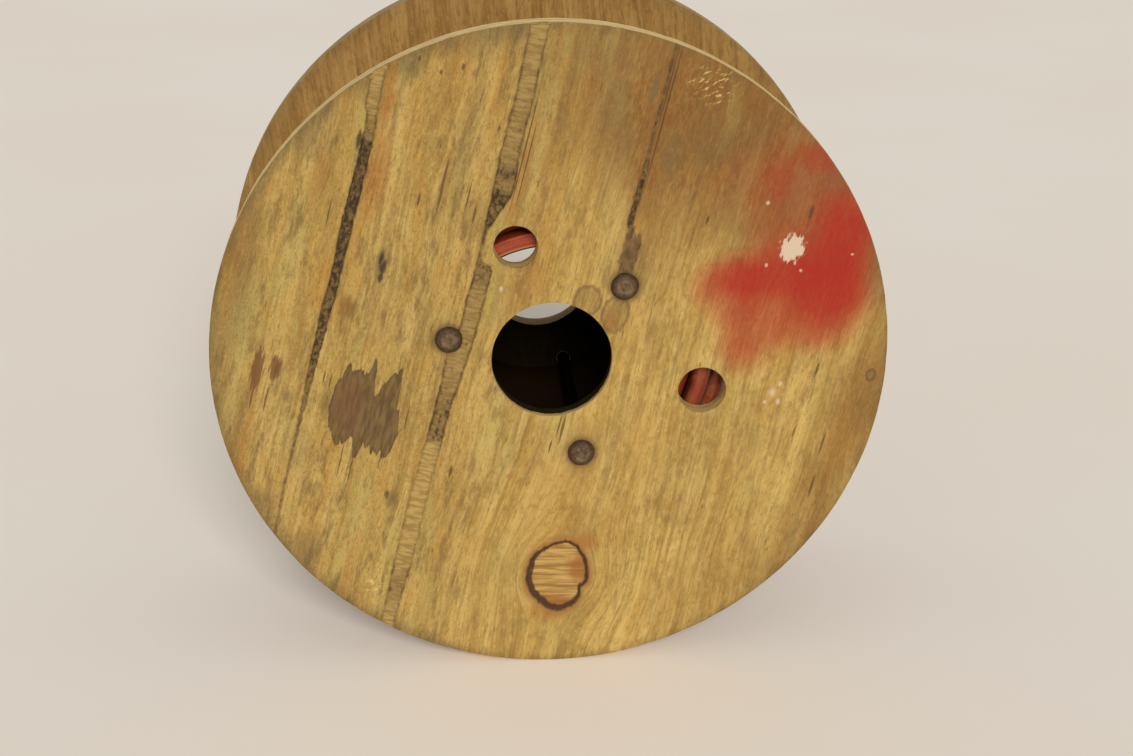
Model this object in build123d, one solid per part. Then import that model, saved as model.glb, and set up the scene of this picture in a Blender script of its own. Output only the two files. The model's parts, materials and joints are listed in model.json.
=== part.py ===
"""Wooden cable drum: plywood flanges bolted on a fibre tube, with a part load of cable.

The axis lies along Y, with the flange that has the small holes towards -Y, and +Z is up: the drum stands
on its rims. The origin is on the axis, halfway between the flanges. Lengths are in millimetres.
"""
from build123d import *

import os
from math import cos, radians, sin

# Flanges, sawn from plywood
FLANGE_DIAMETER = 406.4
FLANGE_THICKNESS = 12.7
TRAVERSE = 152.4                # clear width between the flanges
ARBOR_DIAMETER = 72.0

# Barrel tube, clamped between the flanges and kept in place by the bolts inside it
BARREL_DIAMETER = 152.4
BARREL_WALL = 8.9

# Clamping bolts, evenly spaced
BOLT_COUNT = 3
BOLT_PHASE = 46.5               # degrees from +X towards +Z
BOLT_DIAMETER = 7.94
BOLT_TO_TUBE = 0.3              # from the shank to the inside of the tube
BOLT_HOLE_CLEARANCE = 0.4       # on the radius
BOLT_END = 4.0                  # thread beyond the nut
HEAD_DIAMETER = 17.0
HEAD_EDGE = 1.0                 # straight side of the head, under its crown
HEAD_CROWN = 2.9
NECK_WIDTH = 8.0                # square neck that keeps the bolt from turning
NECK_LENGTH = 5.0
NECK_CLEARANCE = 0.1
WASHER_DIAMETER = 22.2
WASHER_THICKNESS = 1.8
NUT_ACROSS_FLATS = 12.7
NUT_HEIGHT = 6.8
THREAD_CLEARANCE = 0.1

# Holes for the cable's inner end and for a drive pin, each midway between two bolts
START_HOLE_DIAMETER = 25.4
START_HOLE_INSET = 2.1          # of its centre, from the outside of the barrel
DRIVE_HOLE_DIAMETER = 28.6
DRIVE_HOLE_RADIUS = 93.6        # of its centre, from the axis

# Cable, wound in even layers
CABLE_DIAMETER = 12.6
CABLE_LAYERS = 3
LAYER_NESTING = 0.9             # rise of a layer, in cable diameters
TURN_RELIEF = 4.0               # depth of the valley between two turns
WINDING_CLEARANCE = 0.3         # to the barrel and to the flanges

# Weathering of the front face: lost strips of face veneer, and a knot hole
FACE_PLY = 1.6                  # thickness of the outer veneer
GRAIN_LEAN = 14.1               # degrees from +Z towards +X
SPLITS = (                      # across the grain at the top, middle and foot; widths at the top and foot; foot
    (-137.0, -135.2, -139.0, 7.5, 1.2, -FLANGE_DIAMETER / 2),
    (-55.6, -51.4, -57.7, 11.3, 9.8, -FLANGE_DIAMETER / 2),
    (25.3, 25.2, 24.8, 2.6, 1.8, 91.0),
)
KNOT_PLACE = (3.3, -143.8)
KNOT_RADII = (19.5, 23.0)       # across the grain and along it

# Values that follow from those above
flange_radius = FLANGE_DIAMETER / 2
half_traverse = TRAVERSE / 2
front_y = -half_traverse - FLANGE_THICKNESS
rear_y = -front_y
barrel_radius = BARREL_DIAMETER / 2
barrel_inner_radius = barrel_radius - BARREL_WALL
bolt_radius = BOLT_DIAMETER / 2
bolt_hole_radius = bolt_radius + BOLT_HOLE_CLEARANCE
bolt_circle_radius = barrel_inner_radius - BOLT_TO_TUBE - bolt_radius
bolt_pitch = 360 / BOLT_COUNT
bolt_length = rear_y - front_y + WASHER_THICKNESS + NUT_HEIGHT + BOLT_END
winding_bore_radius = barrel_radius + WINDING_CLEARANCE
winding_radius = winding_bore_radius + CABLE_DIAMETER * (1 + (CABLE_LAYERS - 1) * LAYER_NESTING)
winding_width = TRAVERSE - 2 * WINDING_CLEARANCE
turns_per_layer = int(winding_width / CABLE_DIAMETER)


def front_view(y):
    """Plane across the axis at y, as seen from the front: its x is X and its y is Z."""
    return Plane(origin=(0, y, 0), x_dir=(1, 0, 0), z_dir=(0, -1, 0))


def prism(outline, y, depth):
    """Solid of an outline drawn in front view, from y back by depth."""
    return extrude(front_view(y) * outline, -depth)


def on_circle(radius, angle):
    """Place at an angle on a circle about the axis, in front view."""
    return Pos(radius * cos(radians(angle)), radius * sin(radians(angle)))


def bolt_places():
    """Places of the bolts, in front view."""
    angles = [BOLT_PHASE + index * bolt_pitch for index in range(BOLT_COUNT)]
    return [on_circle(bolt_circle_radius, angle) for angle in angles]


def plain_flange(y):
    """Disc with its front face at y, bored for the arbor and the bolts."""
    outline = Circle(flange_radius) - Circle(ARBOR_DIAMETER / 2)
    for place in bolt_places():
        outline -= place * Circle(bolt_hole_radius)
    return prism(outline, y, FLANGE_THICKNESS)


def split_outline(top, middle, foot, top_width, foot_width, foot_end):
    """Tapered, slightly bowed strip along the grain, from the rim above to its foot, in front view."""
    middle_end = (flange_radius + foot_end) / 2
    middle_width = (top_width + foot_width) / 2
    stations = ((foot, foot_width, foot_end), (middle, middle_width, middle_end), (top, top_width, flange_radius))
    left = [(across - width / 2, along) for across, width, along in stations]
    right = [(across + width / 2, along) for across, width, along in stations]
    sides = [Bezier(*left), Line(left[-1], right[-1]), Bezier(*right), Line(right[0], left[0])]
    return Rot(Z=-GRAIN_LEAN) * make_face(Curve() + sides)


def front_flange():
    """Flange towards the viewer, with its small holes, the seats of the bolt necks and its weathered face."""
    flange = plain_flange(front_y)
    start_hole = on_circle(barrel_radius - START_HOLE_INSET, BOLT_PHASE + bolt_pitch / 2)
    drive_hole = on_circle(DRIVE_HOLE_RADIUS, BOLT_PHASE - bolt_pitch / 2)
    flange -= prism(start_hole * Circle(START_HOLE_DIAMETER / 2), front_y, FLANGE_THICKNESS)
    flange -= prism(drive_hole * Circle(DRIVE_HOLE_DIAMETER / 2), front_y, FLANGE_THICKNESS)
    neck_seat = NECK_WIDTH + 2 * NECK_CLEARANCE
    for place in bolt_places():
        flange -= prism(place * Rectangle(neck_seat, neck_seat), front_y, NECK_LENGTH + NECK_CLEARANCE)
    for split in SPLITS:
        flange -= prism(split_outline(*split), front_y, FACE_PLY)
    knot = Pos(*KNOT_PLACE) * Rot(Z=-GRAIN_LEAN) * Ellipse(*KNOT_RADII)
    return flange - prism(knot, front_y, FACE_PLY)


def barrel_tube():
    """Fibre tube that fills the width between the flanges."""
    return prism(Circle(barrel_radius) - Circle(barrel_inner_radius), -half_traverse, TRAVERSE)


def bolt():
    """Round-headed bolt along local Z, its head upwards and the head's seat at the origin."""
    head_radius = HEAD_DIAMETER / 2
    top = HEAD_EDGE + HEAD_CROWN
    crown = TangentArc((0, top), (head_radius, HEAD_EDGE), tangent=(1, 0))
    sides = Polyline((head_radius, HEAD_EDGE), (head_radius, 0), (0, 0), (0, top))
    head = revolve(Plane.XZ * make_face(Curve() + [crown, sides]), Axis.Z)
    neck = Pos(0, 0, -NECK_LENGTH / 2) * Box(NECK_WIDTH, NECK_WIDTH, NECK_LENGTH)
    shank = Pos(0, 0, -bolt_length / 2) * Cylinder(bolt_radius, bolt_length)
    return head + neck + shank


def washer():
    """Flat washer against the rear flange, in front view about the axis."""
    return prism(Circle(WASHER_DIAMETER / 2) - Circle(bolt_hole_radius), rear_y, WASHER_THICKNESS)


def nut():
    """Six-sided nut on the washer, in front view about the axis."""
    hexagon = RegularPolygon(NUT_ACROSS_FLATS / 2, 6, major_radius=False)
    return prism(hexagon - Circle(bolt_radius + THREAD_CLEARANCE), rear_y + WASHER_THICKNESS, NUT_HEIGHT)


def ridge_points(start, pitch, count):
    """Places along a row of ridges, with heights from 0 in a valley to 1 on a crest."""
    points = [(start, 0)]
    for index in range(count):
        points += [(start + (index + 0.5) * pitch, 1), (start + (index + 1) * pitch, 0)]
    return points


def cable_winding():
    """Turned winding: a ridge for each turn on its outside, and one for each layer on its ends."""
    valley_y = winding_width / 2 - TURN_RELIEF
    valley_radius = winding_radius - TURN_RELIEF
    layers = ridge_points(winding_bore_radius, (valley_radius - winding_bore_radius) / CABLE_LAYERS, CABLE_LAYERS)
    turns = ridge_points(-valley_y, 2 * valley_y / turns_per_layer, turns_per_layer)
    front = [(radius, -valley_y - height * TURN_RELIEF) for radius, height in layers]
    outside = [(valley_radius + height * TURN_RELIEF, y) for y, height in turns]
    rear = [(radius, valley_y + height * TURN_RELIEF) for radius, height in reversed(layers)]
    outline = Polyline(*front, *outside[1:], *rear[1:], close=True)
    return revolve(make_face(outline), Axis.Y)


def all_pieces():
    """Every piece of the drum, by name."""
    pieces = {
        "front_flange": front_flange(),
        "rear_flange": plain_flange(half_traverse),
        "barrel_tube": barrel_tube(),
        "cable_winding": cable_winding(),
    }
    for number, place in enumerate(bolt_places(), start=1):
        across = Pos(place.position.X, 0, place.position.Y)
        pieces[f"bolt_{number}"] = front_view(front_y) * place * bolt()
        pieces[f"washer_{number}"] = across * washer()
        pieces[f"nut_{number}"] = across * nut()
    return pieces


os.makedirs("parts", exist_ok=True)
for name, piece in all_pieces().items():
    export_step(piece, f"parts/{name}.step")
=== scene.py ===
import json
from math import cos, pi, radians, sin, tan, tau

import bmesh
import bpy
import numpy as np
from mathutils.geometry import delaunay_2d_cdt
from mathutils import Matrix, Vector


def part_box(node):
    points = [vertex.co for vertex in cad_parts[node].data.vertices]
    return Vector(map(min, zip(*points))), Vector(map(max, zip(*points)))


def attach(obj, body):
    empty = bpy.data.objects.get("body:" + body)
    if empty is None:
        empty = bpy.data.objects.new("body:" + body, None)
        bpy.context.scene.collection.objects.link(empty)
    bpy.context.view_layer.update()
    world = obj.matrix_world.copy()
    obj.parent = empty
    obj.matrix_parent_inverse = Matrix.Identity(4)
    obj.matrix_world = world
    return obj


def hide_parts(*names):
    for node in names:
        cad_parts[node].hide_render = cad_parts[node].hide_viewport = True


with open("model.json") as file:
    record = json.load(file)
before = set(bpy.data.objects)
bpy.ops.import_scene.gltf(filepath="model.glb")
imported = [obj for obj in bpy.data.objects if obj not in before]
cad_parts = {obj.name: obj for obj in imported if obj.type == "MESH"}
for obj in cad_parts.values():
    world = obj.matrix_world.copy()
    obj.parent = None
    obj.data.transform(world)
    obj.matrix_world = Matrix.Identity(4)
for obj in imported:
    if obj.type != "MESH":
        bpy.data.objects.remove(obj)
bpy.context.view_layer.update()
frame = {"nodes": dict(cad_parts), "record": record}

# Lengths are in millimetres until a mesh is made. The drum's axis is Y, its weathered face looks to -Y.
# On that face "across" and "along" are measured from the axis, across the grain and along it.
MM = 0.001


def node_box(node):
    """Lowest and highest corners of a CAD node, in millimetres."""
    low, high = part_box(node)
    return np.array(low) / MM, np.array(high) / MM


# Sizes from the frame
front_low, front_high = node_box("front_flange")
rear_low, rear_high = node_box("rear_flange")
winding_low, winding_high = node_box("cable_winding")
mounts = {mount["name"]: mount for mount in frame["record"]["mounts"]}
RIM_RADIUS = front_high[0]
THICKNESS = front_high[1] - front_low[1]
ARBOR_RADIUS = mounts["arbor"]["dims"]["r_mm"]
TUBE_RADIUS = node_box("barrel_tube")[1][0]
FRONT_Y = front_low[1]          # outer faces of the flanges
REAR_Y = rear_high[1]
FLOOR_Z = front_low[2]
BOLTS = (1, 2, 3)

# Plywood
PLY_COUNT = 5
PLY = THICKNESS / PLY_COUNT
GRAIN_LEAN = radians(14.1)      # from +Z towards +X
REAR_GRAIN_LEAN = radians(-4)
EDGE_MARGIN = 0.45              # least distance of the sawn edge's rings from the faces
RIM_WEAR = 0.55                 # width of the worn edge round the face, and its waves
RIM_WAVE = 0.2
CHIP_LEVEL = 0.45               # noise above which the rim is chipped, and the chips' width
CHIP_WIDTH = 1.6
BACK_WEAR = 0.6
HOLE_WEAR = 0.35
HOLE_WAVE = 0.15
HOLE_MARGIN = 1.2               # kept free of the face's grid points
RIM_POINTS = 960
ARBOR_POINTS = 240
HOLE_POINTS = 112
BOLT_HOLE_POINTS = 32
NO_POINTS = np.zeros((0, 2))

# Pitches of the points on the weathered face, closer together where it is worn
FACE_PITCH = 2.6
SPLIT_PITCH = 0.55
TORN_PITCH = 0.8
KNOT_PITCHES = (0.95, 1.0)      # across and along
KNOT_ZONE = (23, 27)            # half width and half length
TORN_ROWS = (-94, -15, 1.3)     # start, end, pitch
SPLIT_ROWS = (66, 128, 1.7)

# Strips of lost face veneer: along, left edge, right edge, depth, dirt from 0 to 1
LEFT_SPLIT = (
    (-152, -138.9, -138.4, 0.3, 0.4), (-117, -139.7, -138.9, 0.4, 0.5), (-90, -139.5, -138.4, 0.5, 0.5),
    (-70, -139.5, -137.8, 0.8, 0.55), (-50, -139.8, -136.8, 1.0, 0.7), (-30, -140.2, -135.9, 1.2, 0.8),
    (0, -140.2, -134.5, 1.4, 0.85), (22, -139.0, -133.6, 1.5, 0.85), (55, -139.6, -133.1, 1.5, 0.92),
    (88, -138.6, -132.3, 1.5, 0.92), (105, -138.6, -132.0, 1.5, 0.85), (109, -138.4, -132.0, 1.5, 0.6),
    (122, -138.4, -133.2, 1.4, 0.42), (126, -140.8, -133.3, 1.3, 0.32), (152, -140.8, -133.3, 1.3, 0.22),
)
MIDDLE_SPLIT = (
    (-200, -62.5, -54.2, 0.8, 0.2), (-182, -62.5, -54.0, 0.9, 0.3), (-167, -62.8, -53.4, 1.0, 0.6),
    (-150, -63.2, -52.6, 0.9, 0.2), (-133, -63.2, -52.6, 0.8, 0.15), (-100, -63.2, -53.3, 0.7, 0.08),
    (-70, -62.0, -52.6, 0.9, 0.15), (-66, -61.9, -52.5, 1.2, 0.72), (-40, -61.3, -52.5, 1.2, 0.62),
    (-30, -61.3, -51.0, 1.2, 0.45), (-10, -62.0, -49.2, 1.2, 0.42), (5, -58.3, -48.3, 1.2, 0.45),
    (22, -58.3, -48.0, 1.2, 0.4), (36, -58.0, -47.8, 1.1, 0.5), (42, -57.7, -47.6, 1.0, 0.72),
    (48, -57.5, -47.6, 1.0, 0.72), (52, -57.6, -56.6, 0.5, 0.5), (70, -58.0, -56.8, 0.5, 0.5),
    (73, -58.3, -54.6, 1.2, 0.85), (84, -58.3, -51.0, 1.4, 0.8), (92, -58.3, -47.5, 1.5, 0.92),
    (97, -58.6, -46.7, 1.5, 0.6), (106, -58.9, -47.3, 1.5, 0.78), (112, -59.2, -48.0, 1.4, 0.55),
    (122, -59.5, -49.2, 1.3, 0.48), (155, -58.7, -48.3, 1.3, 0.42), (172, -59.7, -49.2, 1.3, 0.38),
    (200, -60.3, -50.2, 1.3, 0.34),
)
RIGHT_SPLIT = (
    (89, 24.3, 25.0, 0.4, 0.8), (92, 22.8, 26.0, 0.9, 0.9), (100, 22.8, 25.8, 1.0, 0.85),
    (122, 23.2, 26.0, 0.7, 0.8), (132, 23.2, 25.4, 0.35, 0.7), (142, 23.3, 24.3, 0.2, 0.7),
    (203, 22.9, 23.8, 0.2, 0.7),
)
SPLITS = (LEFT_SPLIT, MIDDLE_SPLIT, RIGHT_SPLIT)
SEAMS = (0.6, 1.0, 0.8)         # strength of the dark lines along each one's edges

# Torn brown patch: its upper and lower ends, as across and along
TORN_TOP = (
    (-123.5, -45), (-121, -36), (-115, -31), (-104, -27), (-102.5, -18), (-98.5, -42), (-90, -32),
    (-85, -25), (-83.5, -50), (-79, -62),
)
TORN_FOOT = (
    (-123.5, -58), (-120, -74), (-115, -83), (-105, -75.5), (-102.5, -91), (-99, -80), (-87, -81),
    (-85.5, -88), (-79, -68),
)
TORN_DEPTH = 0.4

# Knot hole with a bark ring: across and along
KNOT_PLACE = (38.2, -138.7)
KNOT_RADII = (19.6, 23.2)
KNOT_DEPTH = 1.5
BARK_DEPTH = 0.4

# Values of the weathered face's fields where the wood is sound, apart from those that are 0 there
SOUND_WOOD = {"bare": -3.0, "torn": -3.0, "knot": 2.0}

# Soft stains of the weathered face by field: across, along, half width, half length, strength
STAINS = {
    "brown": (
        (75, 165, 70, 60, 0.97), (15, 178, 70, 60, 0.68), (145, 125, 60, 60, 0.88), (190, -60, 24, 110, 0.6),
        (150, -130, 40, 60, 0.25), (-66, 76, 8, 14, 0.5), (-126.7, 6, 5.5, 7.0, 0.9), (-87, 84, 3, 30, 0.55),
        (-196, 0, 12, 60, 0.55), (60, 120, 40, 50, 0.4), (63, 158, 18, 10, 0.4), (186, 20, 16, 40, 0.45),
        (25, 146, 8, 64, 0.85), (31, 182, 9, 28, 0.5), (-31, 150, 3, 50, 0.5), (-19, 166, 4, 40, 0.45),
        (-5, 150, 3, 60, 0.45), (8, 160, 5, 45, 0.5), (14, 140, 3, 44, 0.4), (36, 130, 4, 60, 0.4),
        (45, 100, 4, 50, 0.35), (-41, 130, 2.5, 50, 0.4), (52, 60, 4, 40, 0.25),
    ),
    "paint": (
        (150, 78, 27, 27, 0.9), (121, 82, 24, 20, 0.76), (98, 75, 21, 14, 0.84), (82, 66, 14, 11, 0.42),
        (95, 57, 20, 14, 0.42), (112, 46, 20, 25, 0.54), (108, 30, 12, 12, 0.3), (150, 112, 18, 22, 0.74),
        (140, 52, 28, 14, 0.5), (160, 92, 11, 30, 0.4), (122, 156, 13, 8, 0.45), (104, 139, 8, 13, 0.26),
        (118, 134, 40, 34, 0.33), (132, 96, 30, 20, 0.4), (150, 128, 22, 16, 0.46),
    ),
    "grey": (
        (38, 138, 6, 12, 0.6), (17.8, 174, 2.4, 9, 0.85), (0, 163, 5, 20, 0.45), (4, 128, 8, 30, 0.25),
        (-117, -151, 9, 14, 0.6), (-150, -128, 12, 9, 0.55), (130, -25, 9, 13, 0.4), (93, 85, 3.2, 3, 0.75),
        (113, 125, 5, 9, 0.5), (-122, 154, 10, 7, 0.65), (-70, 186, 16, 9, 0.45), (-165, 105, 12, 16, 0.4),
        (-149, -57, 3, 4.5, 0.85), (-74, -110, 3.4, 6, 0.85), (-187, -10, 9, 40, 0.35),
        (-90, 176, 20, 10, 0.4), (-193, 50, 8, 20, 0.4), (-112.5, 38, 3.4, 8, 0.95),
        (-135, -90, 9, 14, 0.35), (-178, -75, 14, 26, 0.25), (29, 66, 15, 17, 0.45), (-64, 1, 15, 15, 0.4),
        (31, -52, 13, 15, 0.35), (-9, 150, 4, 26, 0.3), (134, 152, 9, 15, 0.6), (161, 123, 8, 18, 0.5),
        (178, 96, 7, 20, 0.4), (60, 150, 20, 16, 0.3), (86, 162, 9, 14, 0.3), (125, 141, 18, 17, 0.4),
        (-20, 190, 30, 9, 0.3), (-132, 140, 14, 22, 0.25), (-80, 120, 6, 34, 0.3),
    ),
    "orange": (
        (-130, 148, 2.6, 9, 0.8), (-128.5, 131, 3.6, 11, 0.85), (-126, 90, 6, 26, 0.6),
        (-90, -166, 3, 20, 0.5), (-44, 110, 3, 40, 0.45), (50, -112, 9, 6, 0.6), (35, -167, 12, 5, 0.5),
        (-158, 78, 4, 20, 0.5), (-195, 0, 4, 36, 0.3), (-124, 80, 6, 22, 0.4), (-168, -100, 5, 22, 0.4),
        (-95, 150, 16, 26, 0.25), (20, -95, 24, 50, 0.2), (-30, 30, 12, 60, 0.2), (28, 32, 5, 7, 0.5),
    ),
}

# Marks on the weathered face, as across, along, half width and half length
CRACKS = (
    (17.0, -41, 0.8, 10), (14.6, -40, 0.5, 8), (12.5, -55, 0.6, 4.5), (175.5, -16, 0.7, 7),
    (177.2, -46, 0.8, 7.5), (158.3, 29.5, 0.7, 5), (-99.0, 80, 0.7, 4), (-87.6, 91, 0.8, 17),
    (-71.7, 88, 0.5, 10), (-65.8, 78, 0.7, 6), (-102.5, -97, 0.5, 9), (-109.6, -90, 0.4, 10),
    (-169.4, -63, 0.5, 6), (-161.0, -62, 0.5, 7), (68.0, 105, 0.7, 2.5), (-43.0, -84, 0.9, 4),
    (-46.2, 122, 0.5, 34), (-43.4, 112, 0.4, 24), (-86.5, -84, 0.4, 6), (-76.5, -55, 0.5, 8),
    (-116.7, 160, 0.9, 1.7), (-103, 155, 0.9, 1.3), (-91.7, 161, 0.9, 1.9), (126.7, 123, 1.1, 4.5),
    (-130, -40, 0.5, 4), (-126, -42, 0.5, 5), (-121, -47, 0.4, 5), (-57.4, 61, 0.4, 11),
    (27.0, 160, 0.5, 42), (25.2, 176, 0.4, 22), (-148, 60, 0.4, 9), (-63.7, 131, 0.8, 2),
    (-60, -168, 1.6, 2), (156, -13, 0.5, 4), (-77.5, -107, 1.2, 3),
)
BROWN_PATCHES = ((-169.5, -45, 3.6, 13.5), (-159.3, -41, 3.2, 8))
BLACK_KNOTS = (
    (-110.4, 34.5, 2.0, 4.6), (-110.6, 28.5, 1.3, 3.2), (-140.3, 106, 1.5, 5), (-112.6, 40, 1.3, 4.4),
)
OVAL_STAINS = ((11.7, 41, 8.8, 9.8), (29.7, 36.7, 8.5, 12.4), (191.7, 33, 3.4, 4.4))
OVAL_LINE = 1.6                 # width of their outline
RUST_STAINS = ((28.6, 73, 4.8, 14), (25.8, 84, 2.2, 8), (31.5, 82, 2.2, 7))
SEAT_STAIN_AND_SHADE = (10, 10)           # half width and half length of the rust stain and painted shade round each bolt
TORN_RED = (-113, -54, 9, 16)
KNOT_WARM = ((53, -130, 9, 11), (43, -158, 14, 5.5))
KNOT_BROAD_BARK = (KNOT_PLACE[0] - 16, KNOT_PLACE[1] - 13, 22, 24)
WHITE_CHIP = (121.7, 99.5, 6.6, 8.0)
WHITE_FLECKS = (
    (100, 123, 1.2, 1.3), (109.7, 86, 0.9, 1.0), (130.8, 87.5, 0.8, 0.8), (158, 104, 0.9, 0.8),
    (136, 9, 1.8, 2.4), (139.2, 15.5, 1.0, 1.4), (141, 4, 1.2, 1.8), (133, 2, 0.8, 1.0), (-40, 37, 1.0, 1.3),
)
SCRAPES = ((50, 183, 13, 9), (-71, -169, 7, 7))
SCRAPE_TURN = radians(-50)
KNOT_GRAIN_TURN = radians(12)

# Cable and tube
CABLE_DIAMETER = 12.6
LAYER_TURNS = (11, 12, 11)
TURN_SEGMENTS = 72
STRAND_SIDES = 14
CROSSOVER = 40 / 360            # share of a turn in which the cable steps to the next one
CROSSOVER_ANGLE = radians(215)  # from +X towards +Z
WINDING_CLEARANCE = 0.3         # between the tube and the first layer
TURN_GAP = 0.02                 # kept off the cable's radius
CABLE_END = 1.5                 # height of the caps on its ends
TUBE_WALL = 8.9

# Bolts, washers and nuts
BOLT_HOLE_RADIUS = 4.37
BOLT_SEAT_WIDTH = 8.2           # square seat of the bolt's neck
BOLT_SEAT_DEPTH = 5.1
NECK_FIT = 0.1
HEAD_CROWN = (                  # radius, and depth below the top
    (1.2, 0.75), (3.0, 0.7), (3.9, 0.25), (4.5, 0.02), (5.4, 0.18), (6.8, 0.95), (7.8, 1.9),
)
HEAD_EDGE = ((0.3, 0.9), (0.28, 0.25), (0.6, 0))  # inset from the head's radius, and height over the face
SHANK_RADIUS = 3.97
THREAD_ROOT = 3.4
THREAD_PITCH = 1.41
THREAD_START = REAR_Y - 12
THREAD_FORM = ((THREAD_ROOT, 0.25), (THREAD_ROOT, 0.4), (SHANK_RADIUS, 0.7), (SHANK_RADIUS, 0.85))
PLAIN_END = 1.2                 # behind the thread
BOLT_END_RADIUS = 2.6
BOLT_END_BEVEL = 0.5
WASHER_WEAR = 0.3
NUT_BORE = 4.07
NUT_BEVEL = 0.25
BOLT_POINTS = 48
WASHER_POINTS = 64
NUT_POINTS = 96

# Camera of the photograph: place and turn in the frame, lens for the sensor's width
CAMERA_PLACE = (-69.2, -1218.1, 426.6)
CAMERA_PITCH = radians(21.17)   # below the horizon
CAMERA_YAW = radians(3.95)      # from +Y towards +X
CAMERA_LENS = 64.2
CAMERA_SENSOR = 36
CAMERA_NEAR = 50

# Light and floor
LAMP_ENERGY = 2.0
LAMP_ANGLE = radians(19)
LAMP_TURN = (radians(62), 0, radians(5))
WORLD_COLOUR = (1.0, 0.985, 0.96, 1.0)
WORLD_STRENGTH = 0.42
FLOOR_HALF = 12000


def srgb(red, green, blue):
    """Linear colour of an 8-bit sRGB one, with alpha."""
    def linear(value):
        value /= 255
        return value / 12.92 if value < 0.04045 else ((value + 0.055) / 1.055) ** 2.4
    return linear(red), linear(green), linear(blue), 1.0


def smoothstep(low, high, value):
    """0 below low, 1 above high, and a smooth rise between."""
    share = np.clip((value - low) / (high - low), 0, 1)
    return share * share * (3 - 2 * share)


def ripple(place, pitch, seed):
    """Smooth seeded noise along a line, from -1 to 1, with about one bump for each pitch."""
    count = 4096
    knots = np.random.default_rng(seed).uniform(-1, 1, count)
    scaled = np.asarray(place, float) / pitch + count // 2
    index = np.floor(scaled).astype(int)
    blend = smoothstep(0, 1, scaled - index)
    return knots[index % count] * (1 - blend) + knots[(index + 1) % count] * blend


def to_grain(x, z):
    """Across and along the grain of the front face."""
    return x * cos(GRAIN_LEAN) - z * sin(GRAIN_LEAN), x * sin(GRAIN_LEAN) + z * cos(GRAIN_LEAN)


def from_grain(across, along):
    """x and z of a place on the front face."""
    x = across * cos(GRAIN_LEAN) + along * sin(GRAIN_LEAN)
    return x, along * cos(GRAIN_LEAN) - across * sin(GRAIN_LEAN)


def bolt_centre(number):
    """x and z of a bolt."""
    low, high = node_box(f"bolt_{number}")
    return (low[0] + high[0]) / 2, (low[2] + high[2]) / 2


def mount_centre(name):
    """x and z of a mount."""
    place = mounts[name]["pos_m"]
    return place[0] / MM, place[2] / MM


# Meshes

class Shape:
    """Points and faces of one mesh, gathered strip by strip."""

    def __init__(self):
        self.blocks = []
        self.faces = []
        self.count = 0

    def points(self, block):
        """Adds points and returns their numbers."""
        block = np.asarray(block, float).reshape(-1, 3)
        numbers = np.arange(self.count, self.count + len(block))
        self.blocks.append(block)
        self.count += len(block)
        return numbers

    def bridge(self, first, second):
        """Quads between two closed rings with as many points."""
        quads = np.stack([first, np.roll(first, -1), np.roll(second, -1), second], axis=1)
        self.faces += quads.tolist()

    def cap(self, ring, centre):
        """Fan from a closed ring to a centre point."""
        hub = self.points([centre])[0]
        self.faces += [(a, b, hub) for a, b in zip(ring.tolist(), np.roll(ring, -1).tolist())]

    def rows(self, rings, loop=False):
        """Bridges a list of rings of points in turn, back to the first one for a closed section."""
        numbered = [self.points(ring) for ring in rings]
        for first, second in zip(numbered, numbered[1:] + numbered[:1] if loop else numbered[1:]):
            self.bridge(first, second)
        return numbered

    def piece(self, name, material, nodes, slot, sharp=35, fields=None):
        """Object of the mesh, which stands for the CAD nodes and rides with them."""
        mesh = bpy.data.meshes.new(name)
        mesh.from_pydata((np.concatenate(self.blocks) * MM).tolist(), [], self.faces)
        for field, values in (fields or {}).items():
            attribute = mesh.attributes.new(field, "FLOAT", "POINT")
            padded = np.full(self.count, SOUND_WOOD.get(field, 0.0))
            padded[:len(values)] = values
            attribute.data.foreach_set("value", padded)
        mesh.validate()
        fix_normals(mesh)
        mesh.shade_smooth()
        mesh.set_sharp_from_angle(angle=radians(sharp))
        mesh.materials.append(material)
        piece = bpy.data.objects.new(name, mesh)
        bpy.context.scene.collection.objects.link(piece)
        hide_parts(*nodes)
        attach(piece, "root")
        return piece


def fix_normals(mesh):
    """Turns all faces outwards."""
    work = bmesh.new()
    work.from_mesh(mesh)
    bmesh.ops.recalc_face_normals(work, faces=work.faces)
    work.to_mesh(mesh)
    work.free()


def circle_angles(count):
    """Evenly spaced angles of a full turn."""
    return np.arange(count) * tau / count


def ring(centre, radii, y, count):
    """Ring of points about a centre (x, z), with one radius or one for each point, at y."""
    angles = circle_angles(count)
    x = centre[0] + radii * np.cos(angles)
    z = centre[1] + radii * np.sin(angles)
    return np.stack([x, np.broadcast_to(y, x.shape), z], axis=1)


def polygon_radii(flat_radius, sides, count):
    """Radii of a regular polygon at evenly spaced angles, from the distance to its flats."""
    turn = tau / sides
    offset = (circle_angles(count) + turn / 2) % turn - turn / 2
    return flat_radius / np.cos(offset)


def graded_lines(low, high, coarse, zones, growth=0.3):
    """Places from low to high, closer together in and near the zones (start, end, step)."""
    places = [low]
    while places[-1] < high:
        here = places[-1]
        steps = [step + growth * max(start - here, here - end, 0) for start, end, step in zones]
        places.append(here + min(steps + [coarse]))
    return np.array(places)


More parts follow.
